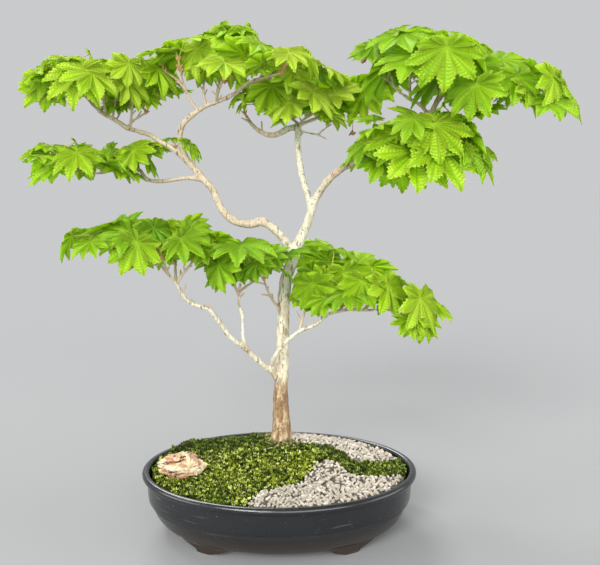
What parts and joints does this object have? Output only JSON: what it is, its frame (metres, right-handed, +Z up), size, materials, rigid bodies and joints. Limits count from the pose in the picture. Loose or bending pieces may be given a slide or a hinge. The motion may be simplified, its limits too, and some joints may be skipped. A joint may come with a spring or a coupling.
{
  "type": "bonsai tree in a pot",
  "caption": "Maple bonsai with layered leaf pads on pale limbs, planted in a dark oval footed pot with moss, gravel and a rock.",
  "frame": {"origin": "on the ground under the middle of the oval pot", "axes": "+Z up; +X along the pot's length, to the right seen from the front; +Y to the back; the front looks along -Y"},
  "size_m": [0.7799, 0.3, 0.7341],
  "materials": {
    "pot": "satin moulded plastic with fine scuffs",
    "screen": "matt moulded mesh",
    "soil": "moist crumbly potting mix",
    "moss": "dense soft cushion moss",
    "gravel": "light angular matt grit",
    "rock": "rough layered stone, cream and red-brown",
    "bark": "pale smooth bark with tan patches",
    "leaf": "fresh thin leaf, soft sheen"
  },
  "bodies": {
    "root": {"pot": "pot", "drain_screen_left": "screen", "drain_screen_right": "screen", "soil": "soil", "moss": "moss", "gravel_front": "gravel", "gravel_back": "gravel", "rock": "rock", "tree": "bark", "leaves_left_middle_1": "leaf", "leaves_left_middle_2": "leaf", "leaves_left_middle_3": "leaf", "leaves_left_middle_4": "leaf", "leaves_left_middle_5": "leaf", "leaves_left_middle_6": "leaf", "leaves_low_left_1": "leaf", "leaves_low_left_2": "leaf", "leaves_low_left_3": "leaf", "leaves_low_left_4": "leaf", "leaves_low_left_5": "leaf", "leaves_low_middle_1": "leaf", "leaves_low_middle_2": "leaf", "leaves_low_middle_3": "leaf", "leaves_low_middle_4": "leaf", "leaves_low_right_1": "leaf", "leaves_low_right_2": "leaf", "leaves_low_right_3": "leaf", "leaves_low_right_4": "leaf", "leaves_low_right_5": "leaf", "leaves_right_middle_1": "leaf", "leaves_right_middle_2": "leaf", "leaves_right_middle_3": "leaf", "leaves_right_middle_4": "leaf", "leaves_right_top_1": "leaf", "leaves_right_top_2": "leaf", "leaves_right_top_3": "leaf", "leaves_right_top_4": "leaf", "leaves_right_top_5": "leaf", "leaves_right_top_6": "leaf", "leaves_right_top_7": "leaf", "leaves_right_top_8": "leaf", "leaves_top_centre_1": "leaf", "leaves_top_centre_2": "leaf", "leaves_top_centre_3": "leaf", "leaves_top_centre_4": "leaf", "leaves_top_centre_5": "leaf", "leaves_upper_left_1": "leaf", "leaves_upper_left_2": "leaf", "leaves_upper_left_3": "leaf", "leaves_upper_left_4": "leaf", "leaves_upper_left_5": "leaf", "leaves_upper_left_6": "leaf", "leaves_upper_middle_1": "leaf", "leaves_upper_middle_2": "leaf", "leaves_upper_middle_3": "leaf", "leaves_upper_middle_4": "leaf", "leaves_upper_middle_5": "leaf", "leaves_upper_middle_6": "leaf", "leaves_upper_middle_7": "leaf", "leaves_upper_middle_8": "leaf"}
  },
  "joints": []
}
